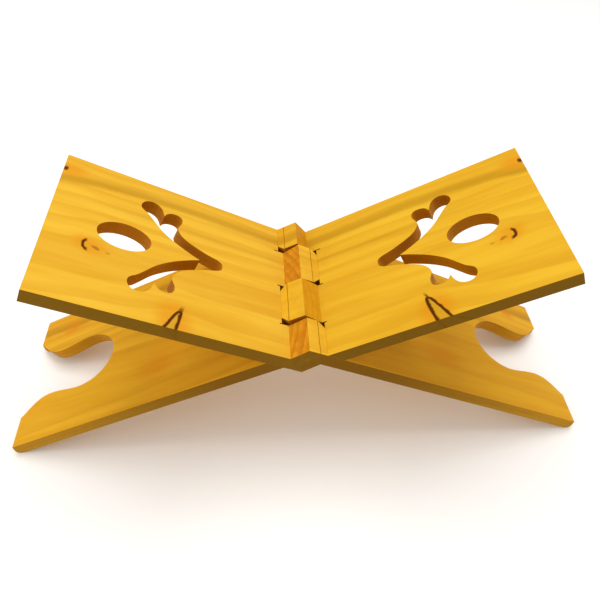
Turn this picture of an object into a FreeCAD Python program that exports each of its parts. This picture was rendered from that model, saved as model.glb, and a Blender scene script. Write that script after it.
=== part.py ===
"""Folding bible stand: two interlocking boards sawn from one plank.

The plank is 28 mm thick. It is resawn at half its thickness from both ends, and the two cuts stop at a
wooden hinge of four knuckles that are left at the plank's full thickness. Each board is one straight piece
of wood: a book panel on one side of the hinge, then two knuckles, then a leg leaf on the other side. The boards
pass through each other at the hinge, so there is no pin and no hardware.

Frame: millimetres, +Z up, +Y along the hinge axis towards the back of the stand, +X to the right. The origin is
on the surface the stand rests on, below the middle of the hinge axis. The stand is modelled open, at its stop.

Each board is drawn in its own plank frame: X runs from the hinge axis out along the book panel, Y along the hinge
axis, Z through the plank's thickness, with the middle of the saw cut at Z = 0.
"""

import FreeCAD, Part
import Sketcher
import math
import os

os.makedirs("parts", exist_ok=True)
V = FreeCAD.Vector

doc = FreeCAD.newDocument("bible_stand")

# ---------------------------------------------------------------- driving sizes, millimetres and degrees
sizes = [
    ("board_width", 145.0, "plank width, along the hinge axis"),
    ("board_thickness", 28.0, "full thickness of the plank"),
    ("saw_kerf", 3.0, "gap left by resawing the plank"),
    ("panel_length", 205.0, "hinge axis to the outer end of a book panel"),
    ("leg_length", 297.5, "hinge axis to the sharp corner of a foot"),
    ("rest_angle", 27.2, "slope of each board when open"),
    ("leaf_start", 18.5, "hinge axis to the end of a leaf beside the other board's knuckle"),
    ("saw_gap", 0.8, "running gap between neighbouring knuckles"),
    ("foot_radius", 4.5, "rounding of the foot's lower corner"),
    ("joint_back", 43.4, "first knuckle joint, behind the middle"),
    ("joint_middle", 1.6, "second knuckle joint"),
    ("joint_front", 39.7, "third knuckle joint, ahead of the middle"),
    ("left_outer_foot_of_bevel", 12.5, "left-panel board, outer knuckle"),
    ("left_outer_ridge", 4.2, "left-panel board, outer knuckle"),
    ("left_inner_foot_of_bevel", 13.6, "left-panel board, inner knuckle"),
    ("left_inner_ridge", 6.2, "left-panel board, inner knuckle"),
    ("right_outer_foot_of_bevel", 10.0, "right-panel board, outer knuckle"),
    ("right_outer_ridge", 7.0, "right-panel board, outer knuckle"),
    ("right_inner_foot_of_bevel", 16.4, "right-panel board, inner knuckle"),
    ("right_inner_ridge", 8.5, "right-panel board, inner knuckle"),
    ("notch_start", 5.5, "hinge axis to the point of a neck notch"),
    ("notch_length", 9.0, "neck notch, along the board"),
    ("notch_depth", 8.4, "neck notch, across the board"),
    ("slit_width", 1.0, "saw overrun in the panel's end"),
    ("slit_back", 22.6, "hinge axis to the end of the overrun, back joint"),
    ("slit_middle", 20.9, "hinge axis to the end of the overrun, middle joint"),
    ("slit_front", 20.4, "hinge axis to the end of the overrun, front joint"),
    ("motif_centre", 1.7, "pierced motif's centre line, behind the middle of the board"),
    ("arch_shoulder", 42.5, "half the opening between the toes"),
]
sheet = doc.addObject("Spreadsheet::Sheet", "Size")
for row, (alias, value, note) in enumerate(sizes, start=1):
    sheet.set(f"A{row}", alias)
    sheet.set(f"B{row}", str(value))
    sheet.set(f"C{row}", note)
    sheet.setAlias(f"B{row}", alias)
doc.recompute()
D = {alias: value for alias, value, _ in sizes}

HALF = D["board_thickness"] / 2
FACE = D["saw_kerf"] / 2
SLOPE = math.tan(math.radians(90 - 2 * D["rest_angle"]))  # the leaf end's lean, so that it lies flat on the other board
PLUMB = math.tan(math.radians(D["rest_angle"]))  # the foot's end is upright when the stand is open
half_x, face_x = "Size.board_thickness / 2", "Size.saw_kerf / 2"
slope_x = "tan((90 - 2 * Size.rest_angle) * 1 deg)"
plumb_x = "tan(Size.rest_angle * 1 deg)"
reach = D["leaf_start"] + (HALF - FACE) * SLOPE
reach_x = f"(Size.leaf_start + (Size.board_thickness - Size.saw_kerf) / 2 * {slope_x})"


def plane(body, role):
    """The body's own origin plane with this role."""
    return next(f for f in body.Origin.OriginFeatures if f.Role == role)


def sketch_on(body, role, name, offset=None):
    """A sketch on one of the body's origin planes, moved along the plane's normal by an expression."""
    sk = body.newObject("Sketcher::SketchObject", name)
    sk.AttachmentSupport = [(plane(body, role), "")]
    sk.MapMode = "FlatFace"
    if offset:
        sk.setExpression("AttachmentOffset.Base.z", offset)
    return sk


def polygon(sk, corners, rounded=None):
    """Closed outline of straight lines. Each corner is ((x, expression), (y, expression)); every coordinate is a
    named dimension from the sketch's origin, driven by its expression."""
    n = len(corners)
    for i, ((x, _), (y, _)) in enumerate(corners):
        (x2, _), (y2, _) = corners[(i + 1) % n]
        sk.addGeometry(Part.LineSegment(V(x, y, 0), V(x2, y2, 0)), False)
    for i in range(n):
        sk.addConstraint(Sketcher.Constraint("Coincident", i, 2, (i + 1) % n, 1))
    for i, (cx, cy) in enumerate(corners):
        for kind, (value, expression) in (("DistanceX", cx), ("DistanceY", cy)):
            ends = (-1, 1, i, 1) if value > 0 else (i, 1, -1, 1)
            k = sk.addConstraint(Sketcher.Constraint(kind, *ends, abs(value)))
            label = f"{'across' if kind == 'DistanceX' else 'up'}{i}"
            sk.renameConstraint(k, label)
            sk.setExpression(f"Constraints.{label}", expression)


def curves(sk, runs):
    """Closed outline of smooth runs; each run is a curve through its points and starts where the last one ended."""
    for points in runs:
        if len(points) == 2:
            sk.addGeometry(Part.LineSegment(V(*points[0], 0), V(*points[1], 0)), False)
        else:
            c = Part.BSplineCurve()
            c.interpolate([V(x, y, 0) for x, y in points])
            sk.addGeometry(c, False)
    n = len(runs)
    if n > 1:
        for i in range(n):
            sk.addConstraint(Sketcher.Constraint("Coincident", i, 2, (i + 1) % n, 1))


def pad(body, sk, name, length):
    """Pads the sketch evenly to both sides of its plane."""
    p = body.newObject("PartDesign::Pad", name)
    p.Profile = sk
    p.SideType = "Symmetric"
    p.setExpression("Length", length)
    return p


def pocket(body, sk, name):
    """Cuts the sketch through the board, both ways from its plane, and makes sure that wood was removed."""
    doc.recompute()
    before = body.Shape.Volume
    p = body.newObject("PartDesign::Pocket", name)
    p.Profile = sk
    p.SideType = "Symmetric"
    p.setExpression("Length", "Size.board_thickness * 2")
    doc.recompute()
    if not body.Shape.Volume < before - 1:
        raise RuntimeError(f"{name} cut nothing")
    return p


# ---------------------------------------------------------------- pierced motif, in plank widths
# (distance from the hinge axis, distance from the motif's centre line); the other half is its mirror image
W = D["board_width"]
TIP = [(0.489, 0.0), (0.493, 0.020), (0.507, 0.034), (0.532, 0.0445), (0.572, 0.0555), (0.622, 0.0745),
       (0.672, 0.0965), (0.715, 0.121), (0.744, 0.148), (0.758, 0.173), (0.763, 0.200)]
LOBE = [(0.763, 0.200), (0.753, 0.221), (0.744, 0.243), (0.7425, 0.264), (0.751, 0.284), (0.770, 0.2955),
        (0.795, 0.297), (0.818, 0.291), (0.836, 0.277), (0.847, 0.255)]
ARM = [(0.847, 0.255), (0.853, 0.273), (0.861, 0.294), (0.873, 0.314), (0.894, 0.331), (0.923, 0.339),
       (0.951, 0.333), (0.972, 0.316), (0.982, 0.292), (0.979, 0.269), (0.965, 0.252), (0.945, 0.238),
       (0.916, 0.209), (0.889, 0.177), (0.863, 0.147), (0.834, 0.120), (0.803, 0.096), (0.771, 0.074),
       (0.735, 0.053), (0.697, 0.033), (0.657, 0.014), (0.622, 0.0)]
OVAL = (1.035, 0.141, 0.0925)  # centre, half length, half width
# leg arch: (distance back from the foot's end, half width)
ARCH = [(0.055, 0.293), (0.080, 0.281), (0.108, 0.254), (0.140, 0.226), (0.180, 0.198), (0.220, 0.181),
        (0.262, 0.173), (0.310, 0.1725), (0.360, 0.177), (0.410, 0.185), (0.460, 0.193), (0.510, 0.1975),
        (0.560, 0.195), (0.612, 0.183), (0.660, 0.161), (0.700, 0.132), (0.732, 0.095), (0.754, 0.050), (0.762, 0.0)]


def motif_runs(centre):
    up = lambda pts: [(x * W, centre + y * W) for x, y in pts]
    down = lambda pts: [(x * W, centre - y * W) for x, y in pts]
    tip = down(TIP)[::-1] + up(TIP)[1:]
    return [tip, up(LOBE), up(ARM), down(ARM)[::-1], down(LOBE)[::-1]]


def arch_runs():
    foot = D["leg_length"] + 6.0
    inner = [(-(D["leg_length"] - (e - 0.02) * W), w * W) for e, w in ARCH]
    outer = [(x, -y) for x, y in inner]
    top = (inner[0][0], D["arch_shoulder"])
    inner[0], outer[0] = top, (top[0], -D["arch_shoulder"])
    return [[(-foot, D["arch_shoulder"]), top], inner + outer[-2::-1], [outer[0], (-foot, -D["arch_shoulder"])],
            [(-foot, -D["arch_shoulder"]), (-foot, D["arch_shoulder"])]]


def knuckle(body, name, bevel, ridge, near, near_x, far, far_x):
    """One full-thickness knuckle between near and far along the hinge axis, with its necks into both leaves.
    bevel and ridge are aliases: where the sloping end starts at the board's inner face, and where it reaches the
    outer face. The lower side is the same, turned half a turn about the hinge axis."""
    sk = sketch_on(body, "XZ_Plane", f"{name}_profile", f"-(({near_x}) + ({far_x})) / 2")
    b, r = D[bevel], D[ridge]
    bx, rx, out, out_x = f"Size.{bevel}", f"Size.{ridge}", reach + 2, f"{reach_x} + 2"
    polygon(sk, [
        ((b, bx), (-FACE, face_x)),
        ((r, rx), (HALF, half_x)),
        ((-out, out_x), (HALF, half_x)),
        ((-out, out_x), (FACE, face_x)),
        ((-b, bx), (FACE, face_x)),
        ((-r, rx), (-HALF, half_x)),
        ((out, out_x), (-HALF, half_x)),
        ((out, out_x), (-FACE, face_x)),
    ])
    return pad(body, sk, name, f"abs(({near_x}) - ({far_x}))")


def make_board(label, side, joints, centre_sign, placement):
    """joints: the three knuckle joints from the outer knuckle inwards, in the board's own Y, as (value, expression)."""
    body = doc.addObject("PartDesign::Body", label)
    body.Label = label
    panel = sketch_on(body, "XZ_Plane", "panel_leaf_profile")
    length, length_x = D["panel_length"], "Size.panel_length"
    polygon(panel, [
        ((D["leaf_start"], "Size.leaf_start"), (-FACE, face_x)),
        ((length, length_x), (-FACE, face_x)),
        ((length, length_x), (-HALF, half_x)),
        ((reach, reach_x), (-HALF, half_x)),
    ])
    pad(body, panel, "panel_leaf", "Size.board_width")
    doc.recompute()

    (j1, j1x), (j2, j2x), (j3, j3x) = joints
    gap, gap_x = D["saw_gap"] / 2, "Size.saw_gap / 2"
    edge, edge_x = D["board_width"] / 2, "Size.board_width / 2"
    knuckle(body, "inner_knuckle", f"{side}_inner_foot_of_bevel", f"{side}_inner_ridge",
            j2 - gap, f"{j2x} - {gap_x}", j3 + gap, f"{j3x} + {gap_x}")
    doc.recompute()

    leg = sketch_on(body, "XZ_Plane", "leg_leaf_profile")
    foot, foot_x = D["leg_length"], "Size.leg_length"
    toe = foot - (HALF - FACE) * PLUMB
    toe_x = f"Size.leg_length - (Size.board_thickness - Size.saw_kerf) / 2 * {plumb_x}"
    polygon(leg, [
        ((-D["leaf_start"], "Size.leaf_start"), (FACE, face_x)),
        ((-foot, foot_x), (FACE, face_x)),
        ((-toe, toe_x), (HALF, half_x)),
        ((-reach, reach_x), (HALF, half_x)),
    ])
    pad(body, leg, "leg_leaf", "Size.board_width")
    doc.recompute()
    knuckle(body, "outer_knuckle", f"{side}_outer_foot_of_bevel", f"{side}_outer_ridge",
            edge, edge_x, j1 + gap, f"{j1x} + {gap_x}")
    doc.recompute()

    # the foot's lower corner is rounded where it stands on the floor
    tip = body.Tip
    edges = [f"Edge{i + 1}" for i, e in enumerate(tip.Shape.Edges)
             if all(abs(v.X + foot) < 0.01 and abs(v.Z - FACE) < 0.01 for v in e.Vertexes)]
    rounding = body.newObject("PartDesign::Fillet", "foot_rounding")
    rounding.Base = (tip, edges)
    rounding.setExpression("Radius", "Size.foot_radius")
    doc.recompute()

    # pierced motif and oval in the book panel
    centre = centre_sign * D["motif_centre"]
    sk = sketch_on(body, "XY_Plane", "motif_outline")
    curves(sk, motif_runs(centre))
    pocket(body, sk, "motif")
    sk = sketch_on(body, "XY_Plane", "oval_outline")
    u, a, b = (OVAL[0] * W, OVAL[1] * W, OVAL[2] * W)
    sk.addGeometry(Part.Ellipse(V(u + a, centre, 0), V(u, centre + b, 0), V(u, centre, 0)), False)
    pocket(body, sk, "oval")

    # arch in the leg, which leaves two feet
    sk = sketch_on(body, "XY_Plane", "arch_outline")
    curves(sk, arch_runs())
    pocket(body, sk, "arch")

    # triangular notches in the corners where a knuckle's neck meets the leg leaf
    n0, nl, nd = D["notch_start"], D["notch_length"], D["notch_depth"]
    for k, (j, jx, way) in enumerate(((j1, j1x, 1), (j2, j2x, -1), (j3, j3x, 1))):
        y0 = j
        y1, y1x = (j + way * nd, f"({jx}) {'+' if way > 0 else '-'} Size.notch_depth")
        signed = lambda value, text: (value, text if value > 0 else f"-({text})")
        sk = sketch_on(body, "XY_Plane", f"notch_outline_{k + 1}")
        polygon(sk, [
            ((-n0, "Size.notch_start"), signed(y0, jx)),
            ((-(n0 + nl), "Size.notch_start + Size.notch_length"), signed(y0, jx)),
            ((-(n0 + nl), "Size.notch_start + Size.notch_length"), signed(y1, y1x)),
        ])
        pocket(body, sk, f"notch_{k + 1}")

    # saw overruns: short slits where the rip cuts beside the knuckles run on into the panel's end
    ends = ("slit_back", "slit_middle", "slit_front")
    if centre_sign < 0:
        ends = ends[::-1]
    for k, ((j, jx), end) in enumerate(zip(joints, ends)):
        half = D["slit_width"] / 2
        y0, y1 = j - half, j + half
        y0x, y1x = f"({jx}) - Size.slit_width / 2", f"({jx}) + Size.slit_width / 2"
        signed = lambda value, text: (value, text if value > 0 else f"-({text})")
        sk = sketch_on(body, "XY_Plane", f"slit_outline_{k + 1}")
        x0, x0x = D["leaf_start"] - 4, "Size.leaf_start - 4"
        polygon(sk, [
            ((x0, x0x), signed(y0, y0x)), ((D[end], f"Size.{end}"), signed(y0, y0x)),
            ((D[end], f"Size.{end}"), signed(y1, y1x)), ((x0, x0x), signed(y1, y1x)),
        ])
        pocket(body, sk, f"slit_{k + 1}")
    doc.recompute()
    body.Placement = placement
    return body


# ---------------------------------------------------------------- where the boards stand
a = math.radians(D["rest_angle"])
centre_back = D["leg_length"] - D["foot_radius"] / math.tan(math.radians((90 - D["rest_angle"]) / 2))
axis_height = centre_back * math.sin(a) - (FACE + D["foot_radius"]) * math.cos(a) + D["foot_radius"]
up = V(0, 0, axis_height)
tilt = FreeCAD.Rotation(V(0, 1, 0), -D["rest_angle"])
right_place = FreeCAD.Placement(up, tilt)
left_place = FreeCAD.Placement(up, FreeCAD.Rotation(V(0, 0, 1), 180) * tilt)

right = make_board(
    "right_panel_board", "right",
    [(D["joint_back"], "Size.joint_back"), (D["joint_middle"], "Size.joint_middle"),
     (-D["joint_front"], "-Size.joint_front")], 1, right_place)
left = make_board(
    "left_panel_board", "left",
    [(D["joint_front"], "Size.joint_front"), (-D["joint_middle"], "-Size.joint_middle"),
     (-D["joint_back"], "-Size.joint_back")], -1, left_place)
doc.recompute()

bodies = [left, right]
for o in doc.Objects:
    if "Invalid" in o.State or "Error" in o.State:
        raise RuntimeError(f"{o.Label} failed: {o.State}")
for b in bodies:
    if b.Shape.isNull() or not b.Shape.isValid() or len(b.Shape.Solids) != 1:
        raise RuntimeError(f"{b.Label} is not one valid solid")
    box = b.Shape.BoundBox
    print(f"{b.Label}: {b.Shape.Volume / 1000:.1f} cm3, "
          f"X {box.XMin:.1f}..{box.XMax:.1f} Y {box.YMin:.1f}..{box.YMax:.1f} Z {box.ZMin:.2f}..{box.ZMax:.1f}")
both = left.Shape.common(right.Shape).Volume
print(f"hinge axis height {axis_height:.3f} mm, overlap of the boards {both:.4f} mm3")
for b in bodies:
    b.Shape.exportStep(f"parts/{b.Label}.step")
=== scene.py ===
"""Looks of the folding bible stand: varnished yellow pine, both boards sawn from one plank, so that their grain and
knots mirror each other across the saw cut. Metres, +Z up."""
import math

import bpy
from mathutils import Matrix, Vector

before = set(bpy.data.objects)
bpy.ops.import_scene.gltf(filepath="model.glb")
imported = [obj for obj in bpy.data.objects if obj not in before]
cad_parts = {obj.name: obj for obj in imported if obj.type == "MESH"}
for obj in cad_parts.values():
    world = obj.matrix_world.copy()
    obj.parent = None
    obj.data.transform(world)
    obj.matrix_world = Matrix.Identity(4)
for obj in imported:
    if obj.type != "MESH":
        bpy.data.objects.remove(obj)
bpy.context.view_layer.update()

ANGLE = math.radians(27.2)      # slope of each board at rest
AXIS_Z = 0.13178                # height of the hinge axis
HALF_WIDTH = 72.5               # half the board's width, mm
LEFT, RIGHT = "left_panel_board", "right_panel_board"


# ------------------------------------------------------------------ node helpers
class Graph:
    """Short names for building one material's node tree."""

    def __init__(self, name):
        self.mat = bpy.data.materials.new(name)
        self.mat.use_nodes = True
        self.nt = self.mat.node_tree
        self.nt.nodes.clear()

    def node(self, kind, **props):
        n = self.nt.nodes.new(kind)
        for k, v in props.items():
            setattr(n, k, v)
        return n

    def put(self, socket, value):
        if isinstance(value, (int, float)):
            socket.default_value = value
        elif isinstance(value, (tuple, list, Vector)):
            socket.default_value = tuple(value)
        else:
            self.nt.links.new(value, socket)

    def math(self, op, a, b=None, c=None, clamp=False):
        n = self.node("ShaderNodeMath", operation=op, use_clamp=clamp)
        for i, v in enumerate((a, b, c)):
            if v is not None:
                self.put(n.inputs[i], v)
        return n.outputs[0]

    def add(self, a, b): return self.math("ADD", a, b)
    def sub(self, a, b): return self.math("SUBTRACT", a, b)
    def mul(self, a, b): return self.math("MULTIPLY", a, b)
    def div(self, a, b): return self.math("DIVIDE", a, b)
    def absolute(self, a): return self.math("ABSOLUTE", a)
    def power(self, a, b): return self.math("POWER", a, b)
    def least(self, a, b): return self.math("MINIMUM", a, b)
    def most(self, a, b): return self.math("MAXIMUM", a, b)

    def dot(self, vector, direction):
        n = self.node("ShaderNodeVectorMath", operation="DOT_PRODUCT")
        self.put(n.inputs[0], vector)
        self.put(n.inputs[1], direction)
        return n.outputs["Value"]

    def xyz(self, x, y, z):
        n = self.node("ShaderNodeCombineXYZ")
        for i, v in enumerate((x, y, z)):
            self.put(n.inputs[i], v)
        return n.outputs[0]

    def ramp(self, value, low, high, smooth=True):
        """0 below low, 1 above high, and the other way round where low is the larger."""
        n = self.node("ShaderNodeMapRange", interpolation_type="SMOOTHSTEP" if smooth else "LINEAR")
        n.clamp = True
        lo, hi, a, b = (low, high, 0.0, 1.0) if low < high else (high, low, 1.0, 0.0)
        self.put(n.inputs[0], value)
        for i, v in zip((1, 2, 3, 4), (lo, hi, a, b)):
            n.inputs[i].default_value = v
        return n.outputs[0]

    def bell(self, value, centre, width):
        """1 at centre, falling off as a Gaussian of this half width."""
        t = self.div(self.sub(value, centre), width)
        return self.math("EXPONENT", self.mul(self.mul(t, t), -1.0))

    def noise(self, vector, scale=1.0, detail=3.0, rough=0.5, distort=0.0, dims="3D", w=0.0, lac=2.0):
        n = self.node("ShaderNodeTexNoise", noise_dimensions=dims)
        self.put(n.inputs["Vector"], vector)
        if dims == "4D":
            n.inputs["W"].default_value = w
        n.inputs["Scale"].default_value = scale
        n.inputs["Detail"].default_value = detail
        n.inputs["Roughness"].default_value = rough
        n.inputs["Lacunarity"].default_value = lac
        n.inputs["Distortion"].default_value = distort
        return n.outputs["Fac"]

    def mix(self, factor, a, b, blend="MIX"):
        n = self.node("ShaderNodeMix", data_type="RGBA", blend_type=blend)
        n.clamp_factor = True
        self.put(n.inputs[0], factor)
        for socket, v in ((n.inputs[6], a), (n.inputs[7], b)):
            self.put(socket, (*v, 1.0) if isinstance(v, tuple) and len(v) == 3 else v)
        return n.outputs[2]


def wood(name, side):
    """Varnished pine for one board. side is -1 for the board with the left panel and 1 for the other. All patterns
    live in the plank both boards were sawn from: s along the plank, y across it, t through it, in millimetres."""
    g = Graph(name)
    coord = g.node("ShaderNodeTexCoord")
    obj, normal = coord.outputs["Object"], coord.outputs["Normal"]
    moved = g.node("ShaderNodeVectorMath", operation="SUBTRACT")
    g.put(moved.inputs[0], obj)
    moved.inputs[1].default_value = (0, 0, AXIS_Z)
    p = moved.outputs[0]
    ca, sa = math.cos(ANGLE), math.sin(ANGLE)
    along, through = Vector((side * ca, 0, sa)), Vector((-side * sa, 0, ca))
    s = g.dot(p, along * 1000)
    y = g.dot(p, (0, 1000, 0))
    v = g.dot(p, through * 1000)
    t = g.mul(v, -side)                       # v for the left board, -v for the right one
    n_s, n_v = g.absolute(g.dot(normal, along)), g.absolute(g.dot(normal, through))
    n_y = g.absolute(g.dot(normal, (0, 1, 0)))

    # --- slow wander of the grain, then the growth rings
    slow = g.noise(g.xyz(g.mul(s, 0.0045), g.mul(y, 0.012), g.mul(t, 0.02)), 1.0, 2.0, 0.5, dims="4D", w=3.1)
    wander = g.mul(g.sub(slow, 0.5), 26.0)
    fine_wander = g.mul(g.sub(g.noise(g.xyz(g.mul(s, 0.018), g.mul(y, 0.05), g.mul(t, 0.08)), 1.0, 3.0, 0.55,
                                      dims="4D", w=7.7), 0.5), 4.0)
    # grain runs very slightly downhill towards the panels' outer ends
    drift = g.mul(g.mul(s, s), 0.00016)

    # knots push the grain aside: (s, y, reach along, reach across, push)
    knots = [(172.0, -17.0, 17.0, 11.0, 9.0), (107.5, -70.0, 22.0, 24.0, 8.0), (203.5, 55.0, 12.0, 8.0, 5.0)]
    push = None
    for ks, ky, rs, ry, amount in knots:
        dy = g.sub(y, ky)
        near = g.mul(g.bell(s, ks, rs), g.bell(y, ky, ry * 1.6))
        one = g.mul(g.mul(g.div(dy, ry), near), -amount)
        push = one if push is None else g.add(push, one)
    depth = g.add(g.mul(t, 0.75), 62.0)
    across = g.add(g.add(g.add(y, 26.0), drift), g.add(g.add(wander, fine_wander), push))
    rings = g.math("SQRT", g.add(g.mul(g.mul(across, across), 0.42), g.mul(depth, depth)))
    spacing_noise = g.noise(g.xyz(0.0, g.mul(rings, 0.09), 0.0), 1.0, 1.0, 0.5, dims="4D", w=1.3)
    ring = g.math("FRACT", g.add(g.mul(rings, 0.26), g.mul(spacing_noise, 1.8)))
    late = g.mul(g.ramp(ring, 0.25, 0.93), g.ramp(ring, 1.0, 0.95))

    # --- fibres, resin streaks and broad blotches
    fibre = g.noise(g.xyz(g.mul(s, 0.035), g.mul(g.add(y, g.mul(wander, 0.5)), 1.15), g.mul(t, 1.15)), 1.0, 4.0, 0.62,
                    dims="4D", w=0.4)
    streak = g.noise(g.xyz(g.mul(s, 0.009), g.mul(g.add(y, wander), 0.11), g.mul(t, 0.10)), 1.0, 3.0, 0.55,
                     dims="4D", w=5.5)
    blotch = g.noise(g.xyz(g.mul(s, 0.017), g.mul(y, 0.028), g.mul(t, 0.03)), 1.0, 2.5, 0.5, dims="4D", w=9.2)

    light = (0.88, 0.475, 0.020)
    mid = (0.80, 0.385, 0.012)
    deep = (0.60, 0.225, 0.005)
    colour = g.mix(g.ramp(streak, 0.30, 0.72), light, mid)
    colour = g.mix(g.mul(g.ramp(blotch, 0.5, 0.78), 0.40), colour, (0.84, 0.36, 0.010))
    colour = g.mix(g.mul(late, 0.26), colour, deep)
    colour = g.mix(g.mul(g.ramp(fibre, 0.54, 0.74), 0.10), colour, deep)
    colour = g.mix(g.mul(g.ramp(fibre, 0.46, 0.30), 0.08), colour, (0.93, 0.60, 0.050))

    hair = g.noise(g.xyz(g.mul(s, 0.016), g.mul(g.add(y, g.mul(wander, 0.6)), 1.7), g.mul(t, 0.6)), 1.0, 2.0, 0.5,
                   dims="4D", w=21.0)
    colour = g.mix(g.mul(g.ramp(hair, 0.66, 0.76), 0.30), colour, (0.42, 0.18, 0.004))

    # --- the darker heartwood band along the back edge of the plank
    bend = g.mul(g.power(g.most(g.sub(s, 120.0), 0.0), 2.0), 0.00165)
    edge_wave = g.mul(g.sub(g.noise(g.xyz(g.mul(s, 0.02), 0.0, g.mul(t, 0.05)), 1.0, 3.0, 0.6, dims="4D", w=2.2),
                            0.5), 7.0)
    centre = g.add(g.sub(54.5, bend), edge_wave)
    rel = g.sub(y, centre)
    band = g.mul(g.ramp(rel, -6.5, -1.0), g.ramp(rel, 10.0, 0.5))
    band = g.mul(band, g.add(0.72, g.mul(streak, 0.35)))
    beyond = g.mul(g.ramp(rel, -2.0, 3.0), 0.34)
    colour = g.mix(beyond, colour, (0.74, 0.335, 0.010))
    colour = g.mix(g.mul(band, 0.74), colour, (0.50, 0.228, 0.005))
    second = g.mul(g.bell(g.sub(y, g.mul(wander, 0.25)), 29.0, 2.3), g.ramp(s, 230.0, 60.0))
    colour = g.mix(g.mul(second, 0.42), colour, (0.52, 0.25, 0.008))

    # --- knots and marks. Each adds a warm halo and dark bark
    def rotated(ks, ky, tilt):
        ds, dy = g.sub(s, ks), g.sub(y, ky)
        c, q = math.cos(tilt), math.sin(tilt)
        return g.add(g.mul(ds, c), g.mul(dy, q)), g.sub(g.mul(dy, c), g.mul(ds, q))

    rag = g.mul(g.sub(g.noise(g.xyz(g.mul(s, 0.22), g.mul(y, 0.22), g.mul(t, 0.15)), 1.0, 4.0, 0.6, dims="4D",
                              w=4.4), 0.5), 1.0)
    dark = (0.085, 0.014, 0.0005)
    bark = 0.0
    # small round knot in the outer third: halo, then a ragged crescent of bark, then a spot beside it
    a1, b1 = rotated(173.5, -17.0, 0.35)
    r1 = g.math("SQRT", g.add(g.power(g.div(a1, 15.0), 2.0), g.power(g.div(b1, 9.5), 2.0)))
    halo = g.ramp(g.add(r1, g.mul(rag, 0.7)), 1.15, 0.25)
    a2, b2 = rotated(173.6, -17.3, -0.16)
    r2 = g.math("SQRT", g.add(g.power(g.div(a2, 4.4), 2.0), g.power(g.div(b2, 5.6), 2.0)))
    crescent = g.mul(g.ramp(g.absolute(g.sub(g.add(r2, g.mul(rag, 0.85)), 0.82)), 0.40, 0.12), g.ramp(a2, -0.6, 1.8))
    a3, b3 = rotated(167.5, -19.0, 0.4)
    spot = g.ramp(g.add(g.math("SQRT", g.add(g.power(g.div(a3, 3.4), 2.0), g.power(g.div(b3, 1.5), 2.0))),
                        g.mul(rag, 1.6)), 1.35, 0.5)
    # long spike knot that runs out through the front edge: a loop of bark round clear wood
    tip_y = g.add(-52.5, g.mul(t, 2.1))
    fall = g.sub(tip_y, y)                                  # 0 at the loop's tip, growing towards the edge
    mid_s = g.add(102.0, g.add(g.mul(fall, 0.34), g.mul(rag, 2.2)))
    half = g.mul(g.math("SQRT", g.most(g.mul(fall, 1.05), 0.0)), g.add(1.0, g.mul(t, 0.03)))
    off = g.absolute(g.sub(s, mid_s))
    line_w = g.add(0.75, g.mul(g.add(rag, 0.5), 1.25))
    loop = g.mul(g.ramp(g.div(g.absolute(g.sub(off, half)), line_w), 1.35, 0.45), g.ramp(fall, -1.2, 0.2))
    inside = g.mul(g.ramp(g.sub(off, half), 0.6, -0.6), g.ramp(fall, 0.0, 1.0))
    a4, b4 = rotated(106.0, -64.0, -0.2)
    halo2 = g.ramp(g.math("SQRT", g.add(g.power(g.div(a4, 17.0), 2.0), g.power(g.div(b4, 21.0), 2.0))), 1.1, 0.3)
    # pin knots at the outer end
    a5, b5 = rotated(203.4, 55.5, 0.2)
    pin = g.ramp(g.math("SQRT", g.add(g.power(g.div(a5, 1.9), 2.0), g.power(g.div(b5, 3.0), 2.0))), 1.25, 0.5)
    a6, b6 = rotated(200.0, 56.0, 0.0)
    halo3 = g.ramp(g.math("SQRT", g.add(g.power(g.div(a6, 18.0), 2.0), g.power(g.div(b6, 11.0), 2.0))), 1.1, 0.2)
    a7, b7 = rotated(159.0, -20.5, 0.0)
    pip = g.ramp(g.math("SQRT", g.add(g.power(g.div(a7, 2.2), 2.0), g.power(g.div(b7, 1.3), 2.0))), 1.2, 0.3)
    # marks in the legs
    a8, b8 = rotated(-250.0, 52.0, 0.4)
    smudge = g.ramp(g.add(g.math("SQRT", g.add(g.power(g.div(a8, 13.0), 2.0), g.power(g.div(b8, 8.0), 2.0))),
                          g.mul(rag, 0.8)), 1.2, 0.2)
    a9, b9 = rotated(-136.0, -38.0, 0.0)
    smudge2 = g.ramp(g.add(g.math("SQRT", g.add(g.power(g.div(a9, 26.0), 2.0), g.power(g.div(b9, 15.0), 2.0))),
                           g.mul(rag, 0.6)), 1.2, 0.2)
    warm = (0.78, 0.235, 0.003)
    for mask, amount in ((halo, 0.50), (halo2, 0.55), (halo3, 0.55), (smudge, 0.60), (smudge2, 0.40)):
        colour = g.mix(g.mul(mask, amount), colour, warm)
    colour = g.mix(g.mul(inside, 0.60), colour, (0.60, 0.33, 0.012))
    tip = g.mul(g.bell(fall, -1.5, 2.6), g.ramp(g.add(off, g.mul(rag, 2.5)), 2.0, 0.6))
    marks = ((crescent, 0.97), (spot, 0.48), (loop, 0.97), (tip, 0.75), (pin, 0.92), (pip, 0.30))
    for mask, amount in marks:
        colour = g.mix(g.mul(mask, amount), colour, dark)
    for mask, amount in marks:
        bark = g.most(bark, g.mul(mask, amount))

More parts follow.
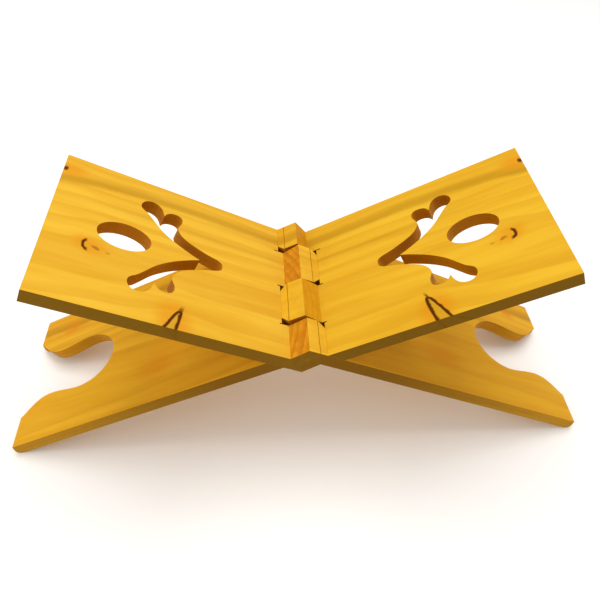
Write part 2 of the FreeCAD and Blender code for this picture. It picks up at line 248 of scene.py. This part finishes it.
    # --- end grain: where the surface cuts across the fibres it drinks the varnish and goes orange
    end = g.ramp(n_s, 0.45, 0.85)
    end_speck = g.noise(g.xyz(g.mul(s, 0.25), g.mul(y, 0.9), g.mul(t, 0.9)), 1.0, 3.0, 0.65, dims="4D", w=6.1)
    end_blotch = g.noise(g.xyz(g.mul(s, 0.06), g.mul(y, 0.13), g.mul(t, 0.13)), 1.0, 2.0, 0.5, dims="4D", w=8.3)
    end_colour = g.mix(g.ramp(end_blotch, 0.35, 0.65), (0.72, 0.26, 0.004), (0.60, 0.18, 0.003))
    end_colour = g.mix(g.mul(late, 0.45), end_colour, (0.38, 0.095, 0.002))
    end_colour = g.mix(g.mul(g.ramp(end_speck, 0.52, 0.70), 0.40), end_colour, (0.40, 0.10, 0.002))
    if side > 0:                              # the right-hand board's end grain took less stain
        end_colour = g.mix(0.45, end_colour, (0.90, 0.42, 0.010))
    colour = g.mix(g.mul(end, 0.92), colour, end_colour)

    # --- sawn edges: the long edges and the walls of the piercings, darker, with saw marks across them. The long edges' darkening is partly painted shade
    edge = g.mul(g.ramp(g.most(n_y, g.mul(g.sub(1.0, n_v), g.sub(1.0, g.ramp(n_s, 0.95, 1.0)))), 0.55, 0.92),
                 g.sub(1.0, g.mul(end, 0.35)))
    outside = g.ramp(g.absolute(y), 71.6, 72.2)
    pierced = g.mul(edge, g.mul(g.sub(1.0, outside), g.ramp(g.absolute(s), 31.0, 34.0)))
    rim = g.mul(edge, outside)
    saw = g.noise(g.xyz(g.mul(s, 0.5), g.mul(y, 0.5), g.mul(t, 0.30)), 1.0, 2.0, 0.6, dims="4D", w=11.0)
    # painted shade on the long edges: darkened well beyond the sawn wood's own colour for the little light they get,
    # less so towards the feet where they catch more light
    rim_sawn_and_shade = g.mul(rim, g.add(0.40, g.mul(g.ramp(s, -290.0, -40.0), 0.57)))
    colour = g.mix(rim_sawn_and_shade, colour, (0.235, 0.098, 0.001))
    colour = g.mix(g.mul(pierced, g.add(0.38, g.mul(g.ramp(s, -40.0, 20.0), 0.50))), colour, (0.47, 0.126, 0.001))
    colour = g.mix(g.mul(g.mul(g.most(rim, pierced), g.ramp(saw, 0.50, 0.70)), 0.10), colour, (0.16, 0.06, 0.001))

    # --- hinge: darker in noisy patches towards the axis, beside the knuckles
    scuff = g.noise(g.xyz(g.mul(s, 0.10), g.mul(y, 0.10), g.mul(t, 0.10)), 1.0, 4.0, 0.6, dims="4D", w=12.5)
    # painted shade: the cut sides of the knuckles, in the gaps between them, are darkened to brown
    knuckle_side_shade = g.mul(g.mul(g.ramp(n_y, 0.70, 0.92), g.sub(1.0, outside)), g.ramp(g.absolute(s), 34.0, 32.0))
    colour = g.mix(g.mul(knuckle_side_shade, 0.86), colour, (0.285, 0.066, 0.001))
    # scribed layout line across the necks, just short of where the other board lands
    necks = g.mul(g.ramp(v, 13.4, 13.8), g.ramp(n_v, 0.80, 0.95))
    scribe_s = g.add(-5.5, g.mul(g.sub(g.noise(g.xyz(0.0, g.mul(y, 0.12), 0.0), 1.0, 1.0, 0.5, dims="4D", w=2.9),
                                       0.5), 1.1))
    scribe = g.mul(g.ramp(g.absolute(g.sub(s, scribe_s)), 0.50, 0.18), necks)
    colour = g.mix(g.mul(scribe, 0.80), colour, (0.30, 0.11, 0.002))
    # darker in noisy patches towards the hinge axis, beside the knuckles
    hinge_darkening = g.mul(g.mul(g.ramp(g.absolute(s), 34.0, 12.0), g.ramp(scuff, 0.45, 0.70)), 0.22)
    colour = g.mix(hinge_darkening, colour, (0.52, 0.235, 0.012))

    panel_tone = (0.86, 0.945, 1.9) if side < 0 else (0.785, 0.85, 1.2)
    tone = g.mix(g.ramp(s, -25.0, 15.0), (0.83, 0.82, 0.9), panel_tone)
    colour = g.mix(1.0, colour, tone, "MULTIPLY")

    # --- relief: rings and fibres stand a little proud, bark and scribed lines are sunk
    relief = g.add(g.mul(late, 0.06), g.mul(fibre, 0.11))
    relief = g.sub(relief, g.mul(bark, 0.42))
    relief = g.sub(relief, g.mul(scribe, 0.50))
    relief = g.add(relief, g.mul(g.mul(g.most(rim, pierced), saw), 0.06))
    relief = g.add(relief, g.mul(g.mul(end, end_speck), 0.20))
    dents = g.noise(g.xyz(g.mul(s, 0.05), g.mul(y, 0.075), g.mul(t, 0.075)), 1.0, 2.0, 0.5, dims="4D", w=14.0)
    relief = g.add(relief, g.mul(dents, 0.30))
    bump = g.node("ShaderNodeBump")
    bump.inputs["Strength"].default_value = 0.55
    bump.inputs["Distance"].default_value = 0.0006
    g.put(bump.inputs["Height"], relief)

    rough = g.add(0.40, g.mul(g.sub(scuff, 0.5), 0.20))
    rough = g.add(rough, g.mul(late, -0.04))
    rough = g.add(rough, g.mul(g.most(end, g.most(rim, pierced)), 0.16))
    rough = g.add(rough, g.mul(bark, 0.15))

    shader = g.node("ShaderNodeBsdfPrincipled")
    g.put(shader.inputs["Base Color"], colour)
    g.put(shader.inputs["Roughness"], rough)
    g.put(shader.inputs["Normal"], bump.outputs[0])
    shader.inputs["IOR"].default_value = 1.48
    shader.inputs["Specular IOR Level"].default_value = 0.05
    shader.inputs["Specular Tint"].default_value = (1.0, 0.74, 0.34, 1.0)
    shader.inputs["Coat Weight"].default_value = 0.0
    shader.inputs["Coat Roughness"].default_value = 0.35
    out = g.node("ShaderNodeOutputMaterial")
    g.put(out.inputs["Surface"], shader.outputs[0])
    return g.mat


# ------------------------------------------------------------------ the two boards
for node, side in ((LEFT, -1), (RIGHT, 1)):
    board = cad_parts[node]
    material = wood(f"pine_{node}", side)
    for slot in board.material_slots:
        slot.material = material
    weld = board.modifiers.new("weld", "WELD")
    weld.merge_threshold = 0.000002
    plain = board.modifiers.new("flat_faces", "DECIMATE")
    plain.decimate_type = "DISSOLVE"
    plain.angle_limit = math.radians(0.4)
    ease = board.modifiers.new("eased_edges", "BEVEL")
    ease.width = 0.0005
    ease.segments = 2
    ease.limit_method = "ANGLE"
    ease.angle_limit = math.radians(32)
    ease.use_clamp_overlap = True
    ease.harden_normals = False
    even = board.modifiers.new("face_normals", "WEIGHTED_NORMAL")
    even.mode = "FACE_AREA"
    even.weight = 80
    even.keep_sharp = False

# ------------------------------------------------------------------ floor, light, camera
floor_mesh = bpy.data.meshes.new("floor")
R = 6.0
floor_mesh.from_pydata([(-R, -R, 0), (R, -R, 0), (R, R, 0), (-R, R, 0)], [], [(0, 1, 2, 3)])
floor = bpy.data.objects.new("floor", floor_mesh)
bpy.context.scene.collection.objects.link(floor)
fg = Graph("pale_floor")
fp = fg.node("ShaderNodeBsdfPrincipled")
fp.inputs["Base Color"].default_value = (0.93, 0.93, 0.925, 1)
fp.inputs["Roughness"].default_value = 0.75
fp.inputs["Specular IOR Level"].default_value = 0.2
fo = fg.node("ShaderNodeOutputMaterial")
fg.put(fo.inputs["Surface"], fp.outputs[0])
floor_mesh.materials.append(fg.mat)

bpy.context.scene.view_settings.view_transform = "Standard"
world = bpy.data.worlds.new("studio")
bpy.context.scene.world = world
world.use_nodes = True
world.node_tree.nodes["Background"].inputs["Color"].default_value = (1.0, 0.995, 0.985, 1)
world.node_tree.nodes["Background"].inputs["Strength"].default_value = 0.66


def softbox(name, place, aim, size, watts, colour=(1, 1, 1)):
    data = bpy.data.lights.new(name, "AREA")
    data.shape = "RECTANGLE"
    data.size, data.size_y = size
    data.energy = watts
    data.color = colour
    lamp = bpy.data.objects.new(name, data)
    lamp.location = place
    lamp.rotation_euler = (Vector(aim) - Vector(place)).to_track_quat("-Z", "Y").to_euler()
    bpy.context.scene.collection.objects.link(lamp)


softbox("overhead", (0.05, 0.35, 1.9), (0, 0, 0.1), (1.6, 1.2), 25, (1.0, 0.985, 0.95))
softbox("left_fill", (-1.5, -0.6, 1.2), (0, 0, 0.12), (1.0, 1.0), 5, (1.0, 0.99, 0.97))

camera_data = bpy.data.cameras.new("camera")
camera_data.sensor_width = 36.0
camera_data.lens = 32.676
camera_data.clip_start = 0.01
camera = bpy.data.objects.new("camera", camera_data)
right = Vector((0.9978, -0.06185, 0.02376))
above = Vector((0.03139, 0.75702, 0.65264))
ahead = Vector((0.05835, 0.65046, -0.7573))
turn = Matrix((right, above, -ahead)).transposed().to_4x4()
camera.matrix_world = Matrix.Translation((-0.02755, -0.31041, 0.48242)) @ turn
bpy.context.scene.collection.objects.link(camera)
bpy.context.scene.camera = camera
